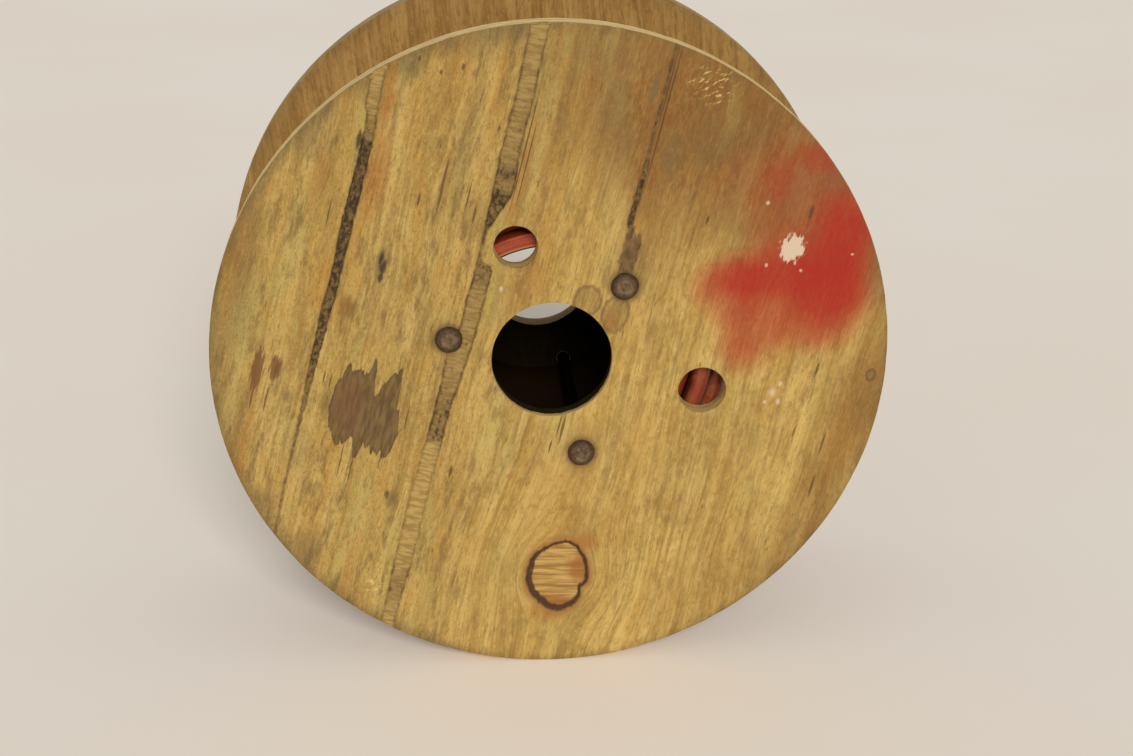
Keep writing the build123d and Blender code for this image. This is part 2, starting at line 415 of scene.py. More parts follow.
def split_fields(across, along):
    """Distance inside the nearest split, its depth, its dirt and the dark seams along its edges."""
    inside = np.full(across.shape, -9.0)
    depth, dirt, seam = (np.zeros(across.shape) for _ in range(3))
    for number, split in enumerate(SPLITS):
        start, *columns = np.array(split).T
        left, right, deep, dirty = (np.interp(along, start, column) for column in columns)
        left += 0.3 * ripple(along, 3.1, 40 + number) + 0.25 * ripple(along, 1.1, 50 + number)
        right += 0.35 * ripple(along, 3.7, 60 + number) + 0.25 * ripple(along, 1.3, 70 + number)
        from_start = along - start[0]
        within = np.minimum(np.minimum(across - left, right - across), from_start)
        dirt = np.where(within > inside, dirty, dirt)
        depth = np.maximum(depth, deep * smoothstep(-0.3, 0.5, within))
        edges = np.exp(-((across - left - 0.3) / 0.9) ** 2)
        edges += 0.8 * np.exp(-((right - across - 0.2) / 0.75) ** 2)
        broken = SEAMS[number] * np.clip(0.65 + 0.7 * ripple(along, 2.3, 75 + number), 0.1, 1)
        broken *= np.clip(0.25 + 1.4 * dirty, 0, 1)
        seam = np.maximum(seam, broken * np.minimum(edges, 1) * (from_start > 0))
        inside = np.maximum(inside, within)
    return inside, depth, dirt, seam


def torn_end(across, outline, seed):
    """Upper or lower end of the torn patch at each place across the grain."""
    ragged = 4.4 * ripple(across, 1.9, seed) + 1.6 * ripple(across, 0.8, seed + 1)
    return np.interp(across, *np.array(outline).T) + ragged


def torn_field(across, along):
    """Distance inside the torn patch, with ends ragged along the grain."""
    top = torn_end(across, TORN_TOP, 81)
    foot = torn_end(across, TORN_FOOT, 83)
    left = TORN_TOP[0][0] + 0.8 * ripple(along, 5, 85)
    right = TORN_TOP[-1][0] + 0.8 * ripple(along, 4, 86)
    ends = 0.35 * np.minimum(top - along, along - foot)
    return np.minimum(ends, np.minimum(across - left, right - across))


def knot_field(across, along):
    """1 on the knot hole's edge, less inside."""
    over = (across - KNOT_PLACE[0]) / KNOT_RADII[0]
    up = (along - KNOT_PLACE[1]) / KNOT_RADII[1]
    angle = np.arctan2(up, over)
    wobble = 0.035 * np.sin(2 * angle + 0.4) + 0.03 * np.sin(3 * angle + 1.2)
    wobble += 0.03 * ripple(angle * 5, 1.0, 91)
    notch = 0.16 * np.exp(-((angle + 0.25) / 0.16) ** 2)
    return np.hypot(over, up) * (1 + wobble + notch)


def soft_spots(across, along, spots):
    """Cover by soft spots, each with its strength, from 0 to 1."""
    clear = np.ones(across.shape)
    for spot_across, spot_along, half_width, half_length, amount in spots:
        reach = np.hypot((across - spot_across) / half_width, (along - spot_along) / half_length)
        clear *= 1 - amount * smoothstep(1.5, 0.35, reach)
    return 1 - clear


def face_fields(x, z):
    """Depth of the weathered face below the sound one, and the fields that its material reads."""
    across, along = to_grain(x, z)
    bare, depth, dirt, seam = split_fields(across, along)
    torn = torn_field(across, along)
    knot = knot_field(across, along)
    crosswise = 1 + 0.02 * ripple(along + 0.1 * across, 1.9, 95)
    depth = depth * crosswise + TORN_DEPTH * smoothstep(-0.2, 0.6, torn)
    bark = BARK_DEPTH * np.exp(-((knot - 0.93) / 0.06) ** 2)
    depth = np.maximum(depth, KNOT_DEPTH * smoothstep(1.0, 0.9, knot) * crosswise + bark)
    fields = {"bare": np.clip(bare, -3, 3), "dirt": dirt, "seam": seam, "torn": np.clip(torn, -3, 3)}
    fields["knot"] = np.clip(knot, 0, 2)
    for field, spots in STAINS.items():
        fields[field] = soft_spots(across, along, spots)
    return depth, fields


def triangulate(loops, inner):
    """Triangles inside the first loop and outside the others, over the loops' points and the inner ones."""
    plane = np.concatenate([loop[:, [0, 2]] for loop in loops] + [inner])
    sizes = [len(loop) for loop in loops]
    starts = np.cumsum([0] + sizes[:-1])
    edges = [(start + i, start + (i + 1) % size) for start, size in zip(starts, sizes) for i in range(size)]
    result = delaunay_2d_cdt([tuple(point) for point in plane], edges, [], 1, 1e-6, True)
    source = np.array([origin[0] for origin in result[3]])
    owner = np.full(len(plane), -1)
    for number, (start, size) in enumerate(zip(starts, sizes)):
        owner[start:start + size] = number
    triangles = source[np.array(result[2])]
    corners = owner[triangles]
    in_hole = (corners[:, 0] > 0) & (corners[:, 0] == corners[:, 1]) & (corners[:, 0] == corners[:, 2])
    return triangles[~in_hole]


def ply_rows(radius, outwards, face_y, inward, count, seed, lowered=0.0):
    """Radii and y of a sawn edge's rings, from the face to the back: each ply keeps its own small waves."""
    length = circle_angles(count) * radius
    rows = []
    for ply in range(PLY_COUNT):
        wave = 0.16 + 0.1 * ripple(length, 9, seed + ply) + 0.06 * ripple(length, 2.5, seed + 20 + ply)
        for depth in (ply * PLY + 0.25, (ply + 1) * PLY - 0.12):
            depth = min(max(depth, EDGE_MARGIN), THICKNESS - EDGE_MARGIN)
            rows.append((radius - outwards * wave, face_y + inward * np.maximum(depth, lowered + 0.3)))
    return rows


class Opening:
    """Hole of a flange: its centre, and the radii and y of its rings from the face to the back."""

    def __init__(self, centre, radius, count, face_y, inward, seed, square=False):
        self.centre = centre
        self.count = count
        self.margin = radius + HOLE_MARGIN
        back_y = face_y + inward * THICKNESS
        if square:
            seat = polygon_radii(BOLT_SEAT_WIDTH / 2, 4, count)
            deep = face_y + inward * BOLT_SEAT_DEPTH
            self.rows = [(seat, face_y), (seat, deep), (radius, deep), (radius, back_y)]
        else:
            edge = HOLE_WEAR + HOLE_WAVE * ripple(circle_angles(count) * radius, 6, seed)
            walls = ply_rows(radius, -1, face_y, inward, count, seed)
            self.rows = [(radius + edge, face_y)] + walls + [(radius + edge, back_y)]

    def rings(self):
        """Rings of points from the face to the back."""
        return [ring(self.centre, radii, y, self.count) for radii, y in self.rows]


def flange_shape(face_y, inward, openings, weathered, seed):
    """Disc of plywood from its outer face inwards, with worn edges, and the weathered face's fields."""
    shape = Shape()
    length = circle_angles(RIM_POINTS) * RIM_RADIUS
    chips = np.clip(ripple(length, 14, seed + 3), CHIP_LEVEL, 1) - CHIP_LEVEL
    edge = RIM_WEAR + RIM_WAVE * ripple(length, 11, seed + 1) + CHIP_WIDTH * chips
    hole_rings = [opening.rings() for opening in openings]
    loops = [ring((0, 0), RIM_RADIUS - edge, face_y, RIM_POINTS)] + [rings[0] for rings in hole_rings]
    inner = face_grid(RIM_RADIUS - FACE_PITCH, openings) if weathered else NO_POINTS
    face = np.concatenate(loops + [np.insert(inner, 1, face_y, axis=1)])
    depth, fields = face_fields(face[:, 0], face[:, 2]) if weathered else (np.zeros(len(face)), {})
    face[:, 1] += inward * depth
    numbers = shape.points(face)
    shape.faces += numbers[triangulate(loops, inner)].tolist()

    lowered = depth[:RIM_POINTS]
    walls = [(RIM_RADIUS - 0.3 * edge, face_y + inward * np.maximum(0.3 * edge, lowered + 0.15))]
    walls += ply_rows(RIM_RADIUS, 1, face_y, inward, RIM_POINTS, seed + 5, lowered)
    walls += [(RIM_RADIUS - BACK_WEAR, face_y + inward * THICKNESS)]
    rim_rings = [ring((0, 0), radii, y, RIM_POINTS) for radii, y in walls]
    rim_numbers = shape.rows(rim_rings)
    shape.bridge(numbers[:RIM_POINTS], rim_numbers[0])
    back_loops, back_numbers = [rim_rings[-1]], [rim_numbers[-1]]
    start = RIM_POINTS
    for rings in hole_rings:
        size = len(rings[0])
        wall_numbers = shape.rows(rings[1:])
        shape.bridge(numbers[start:start + size], wall_numbers[0])
        back_loops.append(rings[-1])
        back_numbers.append(wall_numbers[-1])
        start += size
    back = np.concatenate(back_numbers)
    shape.faces += back[triangulate(back_loops, NO_POINTS)].tolist()
    return shape, fields


def face_grid(radius, openings):
    """Points on the weathered face in rows along the grain, closer at the splits, patch and knot."""
    across_zones = []
    for split in SPLITS:
        left, right = min(row[1] for row in split), max(row[2] for row in split)
        across_zones.append((left - 1, right + 1, SPLIT_PITCH))
    across_zones.append((TORN_TOP[0][0] - 2, TORN_TOP[-1][0] + 2, TORN_PITCH))
    knot_sides = zip(KNOT_PLACE, KNOT_ZONE, KNOT_PITCHES)
    knot_across, knot_along = ((place - half, place + half, pitch) for place, half, pitch in knot_sides)
    lines = graded_lines(-RIM_RADIUS, RIM_RADIUS, FACE_PITCH, across_zones + [knot_across])
    rows = graded_lines(-RIM_RADIUS, RIM_RADIUS, FACE_PITCH, [knot_along, TORN_ROWS, SPLIT_ROWS])
    across, along = (grid.ravel() for grid in np.meshgrid(lines, rows))
    x, z = from_grain(across, along)
    keep = np.hypot(x, z) < radius
    for opening in openings:
        keep &= np.hypot(x - opening.centre[0], z - opening.centre[1]) > opening.margin
    return np.stack([x[keep], z[keep]], axis=1)


def front_flange(material):
    """Weathered flange towards the viewer."""
    side = (FRONT_Y, 1)
    openings = [Opening((0, 0), ARBOR_RADIUS, ARBOR_POINTS, *side, 11)]
    for seed, name in ((13, "start_hole"), (14, "drive_hole")):
        openings.append(Opening(mount_centre(name), mounts[name]["dims"]["r_mm"], HOLE_POINTS, *side, seed))
    for number in BOLTS:
        hole = (bolt_centre(number), BOLT_HOLE_RADIUS, BOLT_HOLE_POINTS)
        openings.append(Opening(*hole, *side, 15, square=True))
    shape, fields = flange_shape(*side, openings, True, 100)
    return shape.piece("front_flange_weathered", material, ["front_flange"], "front_plywood", fields=fields)


def rear_flange(material):
    """Plain flange on the far side."""
    side = (REAR_Y, -1)
    openings = [Opening((0, 0), ARBOR_RADIUS, ARBOR_POINTS, *side, 21)]
    for number in BOLTS:
        openings.append(Opening(bolt_centre(number), BOLT_HOLE_RADIUS, BOLT_HOLE_POINTS, *side, 25))
    shape, _ = flange_shape(*side, openings, False, 200)
    return shape.piece("rear_flange_plain", material, ["rear_flange"], "rear_plywood")


def cable_turns(material):
    """Cable wound in nested layers, each turn round, with a step to the next turn at its end."""
    strand = CABLE_DIAMETER / 2
    pitch = (winding_high[1] - winding_low[1] - CABLE_DIAMETER) / (max(LAYER_TURNS) - 1)
    inner, outer = TUBE_RADIUS + WINDING_CLEARANCE + strand, winding_high[0] - strand
    radii = np.linspace(inner, outer, len(LAYER_TURNS))
    turns = []
    for layer, (count, radius) in enumerate(zip(LAYER_TURNS, radii)):
        places = (np.arange(count) - (count - 1) / 2) * pitch
        turns += [(radius, y) for y in (places if layer % 2 == 0 else places[::-1])]
    turns = np.array(turns + [turns[-1]])
    travel = np.arange((len(turns) - 1) * TURN_SEGMENTS) / TURN_SEGMENTS
    turn = travel.astype(int)
    step = smoothstep(1 - CROSSOVER, 1, travel - turn)[:, None]
    path = turns[turn] * (1 - step) + turns[turn + 1] * step
    radius, y = path[:, 0], path[:, 1] * (1 - 0.006 * np.abs(ripple(travel, 0.3, 301)))

    angle = CROSSOVER_ANGLE + travel * tau
    flat = np.zeros_like(angle)
    outwards = np.stack([np.cos(angle), flat, np.sin(angle)], axis=1)
    ahead = np.stack([-np.sin(angle), flat, np.cos(angle)], axis=1)
    centre = outwards * radius[:, None] + np.stack([flat, y, flat], axis=1)
    section = circle_angles(STRAND_SIDES)
    out, over = np.cos(section), np.sin(section)
    spokes = out[:, None] * outwards[:, None] + over[:, None] * np.array([0, 1, 0])
    shape = Shape()
    numbered = shape.rows(list(centre[:, None] + (strand - TURN_GAP) * spokes))
    shape.cap(numbered[0], centre[0] - CABLE_END * ahead[0])
    shape.cap(numbered[-1], centre[-1] + CABLE_END * ahead[-1])

    # Painted shade below each turn, beside it except by the flanges, and above it where another layer covers
    # it
    below = smoothstep(0.5, 0.9, -out)
    painted_contact_shade = np.maximum(below, 0.8 * smoothstep(0.8, 1.0, np.abs(over)))
    painted_contact_shade = np.broadcast_to(painted_contact_shade, (len(centre), STRAND_SIDES)).copy()
    painted_contact_shade[np.abs(path[:, 1]) > (max(LAYER_TURNS) - 2.2) / 2 * pitch] = below
    covered = radius < radii[-1] - 1
    painted_contact_shade[covered] = np.maximum(painted_contact_shade[covered], smoothstep(0.5, 0.9, out))
    fields = {"painted_contact_shade": painted_contact_shade.ravel()}
    return shape.piece("cable_turns", material, ["cable_winding"], "cable_sheath", 60, fields)


def steel_piece(node, material, centre, profile, count, sharp, caps=()):
    """Piece of rings by a profile of radii and y: closed by caps at two y, or else on itself."""
    shape = Shape()
    numbered = shape.rows([ring(centre, radii, y, count) for radii, y in profile], loop=not caps)
    for end, y in zip((numbered[0], numbered[-1]), caps):
        shape.cap(end, (centre[0], y, centre[1]))
    return shape.piece(f"{node}_rusty", material, [node], "rusty_steel", sharp)


def rusty_bolt(number, material):
    """Bolt with a dished round head, a square neck and a threaded end."""
    low, high = node_box(f"bolt_{number}")
    centre = bolt_centre(number)
    top, end = low[1], high[1]
    neck_end = FRONT_Y + BOLT_SEAT_DEPTH - NECK_FIT
    head = (high[0] - low[0]) / 2
    lip = 0.25 * ripple(circle_angles(BOLT_POINTS) * head, 5, 400 + number)
    crown = [(radius, top + depth) for radius, depth in HEAD_CROWN]
    crown += [(head - inset, FRONT_Y - height) for inset, height in HEAD_EDGE]
    profile = [(radius + lip * radius / head, y) for radius, y in crown]
    square = polygon_radii(BOLT_SEAT_WIDTH / 2 - NECK_FIT, 4, BOLT_POINTS)
    profile += [(square, FRONT_Y), (square, neck_end)]
    profile += [(SHANK_RADIUS, neck_end), (SHANK_RADIUS, THREAD_START)]
    for crest in range(int((end - PLAIN_END - THREAD_START) / THREAD_PITCH)):
        y = THREAD_START + crest * THREAD_PITCH
        profile += [(radius, y + share * THREAD_PITCH) for radius, share in THREAD_FORM]
    profile += [(THREAD_ROOT, end - BOLT_END_BEVEL), (BOLT_END_RADIUS, end)]
    caps = (top + HEAD_CROWN[0][1], end)
    return steel_piece(f"bolt_{number}", material, centre, profile, BOLT_POINTS, 35, caps)


def rusty_washer(number, material):
    """Flat washer with worn edges."""
    low, high = node_box(f"washer_{number}")
    outer, hole, soft = (high[0] - low[0]) / 2, BOLT_HOLE_RADIUS, WASHER_WEAR
    profile = [
        (hole, low[1] + soft), (hole + soft, low[1]), (outer - soft, low[1]), (outer, low[1] + soft),
        (outer, high[1] - soft), (outer - soft, high[1]), (hole + soft, high[1]), (hole, high[1] - soft),
    ]
    return steel_piece(f"washer_{number}", material, bolt_centre(number), profile, WASHER_POINTS, 60)


def rusty_nut(number, material):
    """Six-sided nut with its corners turned off on the outside and a bevelled bore."""
    low, high = node_box(f"nut_{number}")
    flat = (high[2] - low[2]) / 2
    hexagon = np.roll(polygon_radii(flat, 6, NUT_POINTS), NUT_POINTS // 12)
    turned = high[1] - (hexagon - flat + NUT_BEVEL) * tan(radians(30))
    profile = [
        (NUT_BORE, low[1] + 0.4), (NUT_BORE + 0.4, low[1]), (hexagon - 0.15, low[1]),
        (hexagon, low[1] + 0.2), (hexagon, turned), (flat - NUT_BEVEL, high[1]),
        (NUT_BORE + 0.5, high[1]), (NUT_BORE, high[1] - 0.5),
    ]
    return steel_piece(f"nut_{number}", material, bolt_centre(number), profile, NUT_POINTS, 28)


# Materials

class Nodes:
    """Node tree of one material, built a call at a time. Sockets and plain values mix freely."""

    def __init__(self, name):
        self.material = bpy.data.materials.new(name)
        self.material.use_nodes = True
        self.tree = self.material.node_tree

    def put(self, socket, value):
        """Links a socket to another one, or gives it a plain value."""
        if isinstance(value, bpy.types.NodeSocket):
            self.tree.links.new(value, socket)
        else:
            socket.default_value = value

    def add(self, kind, inputs=(), output=0, **settings):
        """One output of a new node with these inputs and settings."""
        node = self.tree.nodes.new("ShaderNode" + kind)
        for name, value in settings.items():
            setattr(node, name, value)
        for name, value in dict(inputs).items():
            self.put(node.inputs[name], value)
        return node.outputs[output]

    def math(self, operation, *values):
        return self.add("Math", enumerate(values), operation=operation)

    def times(self, first, second):
        return self.math("MULTIPLY", first, second)

    def line(self, value, slope, start):
        """The value times slope, plus start."""
        return self.math("MULTIPLY_ADD", value, slope, start)

    def vector(self, operation, *values, output=0):
        return self.add("VectorMath", enumerate(values), output, operation=operation)

    def part(self, vector, axis):
        """X, Y or Z of a vector."""
        return self.add("SeparateXYZ", {0: vector}, axis)

    def turn(self, place, angle):
        """Place turned about the drum's axis."""
        return self.add("VectorRotate", {"Vector": place, "Angle": angle}, rotation_type="Y_AXIS")

    def reach(self, place):
        """Distance of a place from the drum's axis."""
        return self.vector("LENGTH", self.vector("MULTIPLY", place, (1, 0, 1)), output="Value")

    def place(self):
        """Place in the frame, in millimetres."""
        return self.vector("MULTIPLY", self.add("TexCoord", output="Object"), (1 / MM, 1 / MM, 1 / MM))

    def field(self, name):
        """Value that the mesh holds at its points."""
        return self.add("Attribute", output="Fac", attribute_name=name)

    def noise(self, place, pitches, detail=2.0, roughness=0.5):
        """Noise whose bumps measure about pitches (across, through, along) in millimetres."""
        scaled = self.vector("MULTIPLY", place, tuple(1 / pitch for pitch in pitches))
        inputs = {"Vector": scaled, "Scale": 1.0, "Detail": detail, "Roughness": roughness}
        return self.add("TexNoise", inputs)

    def swing(self, place, pitches, detail, roughness=0.5):
        """Noise about zero."""
        return self.math("SUBTRACT", self.noise(place, pitches, detail, roughness), 0.5)

    def rise(self, value, start, full):
        """0 at start and 1 at full, with a smooth rise between; start may be the greater."""
        inputs = {"Value": value, "From Min": start, "From Max": full}
        return self.add("MapRange", inputs, interpolation_type="SMOOTHSTEP")

    def spots(self, place, ellipses, soft, ragged=None, rag=0.0):
        """1 inside any ellipse (across, along, half width, half length), with a soft or ragged edge."""
        reaches = []
        for across, along, half_width, half_length in ellipses:
            scale = (1 / half_width, 0, 1 / half_length)
            shift = (-across / half_width, 0, -along / half_length)
            scaled = self.vector("MULTIPLY_ADD", place, scale, shift)
            reaches.append(self.vector("LENGTH", scaled, output="Value"))
        nearest = reaches[0]
        for reach in reaches[1:]:
            nearest = self.math("MINIMUM", nearest, reach)
        if ragged is not None:
            nearest = self.line(ragged, rag, nearest)
        return self.rise(nearest, 1 + soft, 1 - soft)

    def mix(self, share, first, second):
        return self.add("Mix", {0: share, 6: first, 7: second}, 2, data_type="RGBA")

    def tint(self, colour, mask, amount, second):
        """Colour turned towards a second one, by an amount of the mask."""
        return self.mix(self.times(mask, amount), colour, second)

    def layers(self, colour, rows):
        """Colour with a tint for each row: a noise, its mask's start and full, the amount and the tint."""
        for noise, start, full, amount, second in rows:
            colour = self.tint(colour, self.rise(noise, start, full), amount, second)
        return colour

    def finish(self, colour, roughness, height, distance, strength, specular=0.5, metallic=0.0):
        """The material with its colour, shine and bump; the bump's distance is in millimetres."""
        inputs = {
            "Base Color": colour, "Roughness": roughness,
            "Specular IOR Level": specular, "Metallic": metallic,
            "Normal": self.add("Bump", {"Height": height, "Distance": distance * MM, "Strength": strength}),
        }
        for name, value in inputs.items():
            self.put(self.tree.nodes["Principled BSDF"].inputs[name], value)
        return self.material


def wood_grain(nodes, place, light, middle, dark):
    """Colour and relief of a plain weathered veneer whose grain runs along the place's Z."""
    bands = nodes.noise(place, (9, 40, 190), 3, 0.55)
    lines = nodes.noise(place, (1.7, 30, 44), 3, 0.65)
    fibre = nodes.noise(place, (0.75, 12, 11), 2, 0.6)
    blotch = nodes.noise(place, (22, 60, 48), 4, 0.6)
    streaks = nodes.noise(place, (4.2, 40, 130), 2)
    mottle = nodes.noise(place, (2.4, 12, 5), 4, 0.65)
    colour = nodes.mix(nodes.rise(bands, 0.34, 0.66), middle, light)
    colour = nodes.layers(colour, (
        (blotch, 0.45, 0.68, 0.5, dark),
        (lines, 0.5, 0.7, 0.5, dark),
        (lines, 0.48, 0.3, 0.4, light),
        (fibre, 0.5, 0.7, 0.3, dark),
        (fibre, 0.46, 0.28, 0.3, light),
        (streaks, 0.5, 0.68, 0.5, dark),
        (mottle, 0.5, 0.7, 0.52, dark),
        (mottle, 0.47, 0.3, 0.45, light),
    ))
    return colour, nodes.math("ADD", nodes.times(lines, -0.5), nodes.times(fibre, -0.5))


def sawn_edge(nodes, place, colour, relief, face_y, tints):
    """Plies on the rim and in the holes, over a face's colour; the tints are two plies, dust and holes."""
    facing = nodes.math("ABSOLUTE", nodes.part(nodes.add("TexCoord", output="Normal"), "Y"))
    depth = nodes.math("ABSOLUTE", nodes.math("SUBTRACT", nodes.part(place, "Y"), face_y))
    reach = nodes.reach(place)
    grain = nodes.noise(place, (3, 0.5, 3), 3)
    ply = nodes.math("PINGPONG", nodes.math("DIVIDE", nodes.line(grain, 0.5, depth), PLY), 1.0)
    plies = nodes.mix(nodes.rise(ply, 0.3, 0.7), tints[0], tints[1])
    plies = nodes.mix(nodes.rise(nodes.noise(place, (14, 6, 14), 3), 0.35, 0.6), plies, tints[2])
    plies = nodes.tint(plies, nodes.rise(reach, RIM_RADIUS - 20, RIM_RADIUS - 40), 0.8, tints[3])
    on_rim = nodes.rise(reach, RIM_RADIUS - 4, RIM_RADIUS - 2)
    in_arbor = nodes.rise(reach, ARBOR_RADIUS + 3, ARBOR_RADIUS + 2)
    sawn = nodes.math("MAXIMUM", nodes.math("MAXIMUM", nodes.rise(depth, 1.5, 2.2), on_rim), in_arbor)
    edge = nodes.times(nodes.rise(facing, 0.75, 0.5), sawn)
    relief = nodes.math("ADD", relief, nodes.times(nodes.times(grain, edge), 0.6))
    return nodes.mix(edge, colour, plies), relief


class WeatheredFace(Nodes):
    """Nodes of the weathered face, with the places and noises that its layers share."""

    def __init__(self, name):
        super().__init__(name)
        self.straight = self.place()
        self.radius = self.reach(self.straight)
        self.turned = self.turn(self.straight, -GRAIN_LEAN)
        self.parted = self.parted_grain()
        self.fine = self.swing(self.parted, (1.0, 9, 8), 3, 0.65)
        self.coarse = self.swing(self.turned, (2.6, 9, 6), 3, 0.6)

    def parted_grain(self):
        """Place with the grain parting round the knot and wandering a little."""
        offset = self.vector("SUBTRACT", self.turned, (KNOT_PLACE[0], 0, KNOT_PLACE[1]))
        offset = self.vector("MULTIPLY", offset, (1, 0, 1))
        squared = self.vector("DOT_PRODUCT", offset, offset, output="Value")
        pull = self.math("DIVIDE", KNOT_RADII[0] ** 2, self.math("MAXIMUM", squared, KNOT_RADII[0] ** 2))
        drift = self.times(self.part(offset, "X"), pull)
        wander = self.times(self.swing(self.turned, (70, 90, 120), 1), 16)
        shift = self.add("CombineXYZ", {"X": self.math("SUBTRACT", wander, drift)})
        return self.vector("ADD", self.turned, shift)

    def stain(self, field, spread):
        """Field of soft spots, broken up along the grain."""
        broken = self.line(self.math("ADD", self.fine, self.coarse), spread, 1.0)
        return self.times(self.field(field), broken)

    def marks(self, ellipses, soft, ragged=None, rag=0.0):
        """Ellipses that lie along the grain."""
        return self.spots(self.turned, ellipses, soft, ragged, rag)


def grimy_wood(face, colour):
    """Stains, smudges, dirt and short dark dashes of the grain, most on the left and at the rim."""
    smudge = face.noise(face.turned, (6, 20, 24), 4, 0.65)
    band = face.noise(face.turned, (15, 60, 60), 2)
    grit = face.noise(face.turned, (1.5, 9, 2.8), 4, 0.7)
    leftward = face.rise(face.part(face.turned, "X"), 20, -60)
    rough = face.line(leftward, 0.5, 0.5)
    colour = face.tint(colour, leftward, 0.2, srgb(134, 108, 53))
    colour = face.layers(colour, (
        (band, 0.48, 0.3, face.times(rough, 0.5), srgb(175, 158, 88)),
        (band, 0.52, 0.7, face.times(rough, 0.4), srgb(182, 129, 53)),
        (smudge, 0.5, 0.7, face.times(rough, 0.8), srgb(127, 102, 53)),
        (smudge, 0.44, 0.28, face.times(rough, 0.5), srgb(179, 132, 56)),
    ))
    outward = face.line(leftward, 4, face.line(smudge, 20, face.radius))
    border = face.rise(outward, RIM_RADIUS + 2, RIM_RADIUS + 16)
    colour = face.tint(colour, border, 0.7, srgb(108, 88, 51))
    colour = face.tint(colour, face.stain("grey", 0.9), 0.8, srgb(116, 99, 60))
    colour = face.tint(colour, face.stain("orange", 0.9), 0.8, srgb(162, 99, 36))
    colour = face.layers(colour, (
        (grit, 0.5, 0.7, face.times(rough, 0.36), srgb(108, 86, 45)),
        (grit, 0.46, 0.28, face.times(rough, 0.2), srgb(218, 192, 121)),
    ))
    dashes = face.rise(face.noise(face.parted, (1.3, 9, 10), 3, 0.6), 0.6, 0.74)
    patchy = face.line(leftward, 0.12, face.noise(face.turned, (40, 60, 50), 2))
    dashes = face.times(dashes, face.rise(patchy, 0.38, 0.62))
    specks = face.rise(face.noise(face.turned, (0.9, 9, 1.9), 2, 0.5), 0.6, 0.73)
    dashes = face.math("MAXIMUM", dashes, face.times(specks, face.times(rough, 0.8)))
    return face.tint(colour, dashes, 0.7, srgb(95, 69, 38))


def bolt_stains(face, colour):
    """Outlined ovals, rust, and rings of dirt and painted shade round the bolts."""
    hearts = [(*oval[:2], oval[2] - OVAL_LINE, oval[3] - OVAL_LINE) for oval in OVAL_STAINS]
    hearts = face.times(face.marks(hearts, 0.22, face.coarse, 0.6), 0.62)
    ovals = face.math("SUBTRACT", face.marks(OVAL_STAINS, 0.12, face.coarse, 0.5), hearts)
    colour = face.tint(colour, ovals, 0.75, srgb(101, 77, 45))
    rusted = face.mix(face.rise(face.coarse, -0.14, 0.14), srgb(80, 57, 35), srgb(118, 89, 55))
    colour = face.tint(colour, face.marks(RUST_STAINS, 0.25, face.coarse, 1.3), 0.88, rusted)
    # Rust stain and painted shade round each bolt's head
    stain_and_shade_rings = [(*to_grain(*bolt_centre(number)), *SEAT_STAIN_AND_SHADE) for number in BOLTS]
    return face.tint(colour, face.marks(stain_and_shade_rings, 0.22, face.coarse, 0.5), 0.6, srgb(92, 69, 42))


def cracked_wood(face, colour):
    """Cracks, brown patches and small black knots."""
    colour = face.tint(colour, face.marks(CRACKS, 0.4, face.fine, 1.4), 0.75, srgb(84, 58, 34))
    colour = face.tint(colour, face.marks(BROWN_PATCHES, 0.22, face.fine, 1.9), 0.8, srgb(106, 66, 40))
    return face.tint(colour, face.marks(BLACK_KNOTS, 0.5, face.coarse, 1.6), 0.88, srgb(58, 45, 29))


def torn_patch(face, colour):
    """Brown wood where the face was torn off, darker along its edge."""
    inside = face.line(face.fine, 2.8, face.field("torn"))
    fibres = face.rise(face.noise(face.parted, (3, 9, 14), 4, 0.6), 0.36, 0.66)
    tear = face.mix(fibres, srgb(88, 66, 39), srgb(123, 96, 56))
    tear = face.tint(tear, face.marks([TORN_RED], 0.8, face.coarse, 0.8), 0.5, srgb(108, 66, 45))
    tear = face.tint(tear, face.rise(inside, 1.6, 0.2), 0.5, srgb(82, 56, 33))
    return face.tint(colour, face.rise(inside, -0.15, 0.35), 0.93, tear)


def bare_splits(face, colour):
    """Ply below the lost strips, whose grain runs across, with dirt in it and dark seams."""
    ridges = face.rise(face.noise(face.turned, (8, 9, 1.6), 3, 0.6), 0.36, 0.64)
    bare = face.mix(ridges, srgb(157, 126, 68), srgb(191, 159, 91))
    dirt = face.field("dirt")
    bare = face.tint(bare, dirt, 0.9, srgb(97, 72, 38))
    crumbs = face.noise(face.turned, (2.4, 9, 3.4), 4, 0.7)
    packed = face.math("ADD", dirt, face.line(crumbs, 2.4, -1.9))
    bare = face.tint(bare, face.rise(packed, -0.1, 0.42), 0.92, srgb(50, 36, 21))
    inside = face.line(face.fine, 0.8, face.field("bare"))
    colour = face.tint(colour, face.rise(inside, -1.2, 0.0), 0.2, srgb(114, 86, 49))
    colour = face.mix(face.rise(inside, -0.3, 0.3), colour, bare)
    return face.tint(colour, face.field("seam"), 0.9, srgb(79, 54, 30))


def knot_hole(face, colour):
    """Brown halo, dark bark and pale wood inside the knot hole."""
    knot = face.line(face.coarse, 0.16, face.field("knot"))
    colour = face.tint(colour, face.rise(knot, 1.3, 1.02), 0.7, srgb(153, 103, 51))
    lines = face.noise(face.turn(face.turned, KNOT_GRAIN_TURN), (30, 9, 1.9), 3, 0.6)
    floor = face.mix(face.rise(lines, 0.36, 0.64), srgb(150, 110, 54), srgb(196, 158, 91))
    floor = face.tint(floor, face.marks(KNOT_WARM, 0.45, face.coarse, 0.7), 0.75, srgb(151, 90, 38))
    colour = face.mix(face.rise(knot, 0.95, 0.87), colour, floor)
    inner_edge = face.line(face.marks([KNOT_BROAD_BARK], 0.6), -0.09, 0.89)
    bark = face.rise(face.math("SUBTRACT", knot, inner_edge), -0.03, 0.04)
    bark = face.times(bark, face.rise(knot, 1.06, 0.97))
    return face.tint(colour, bark, 0.9, srgb(64, 42, 25))


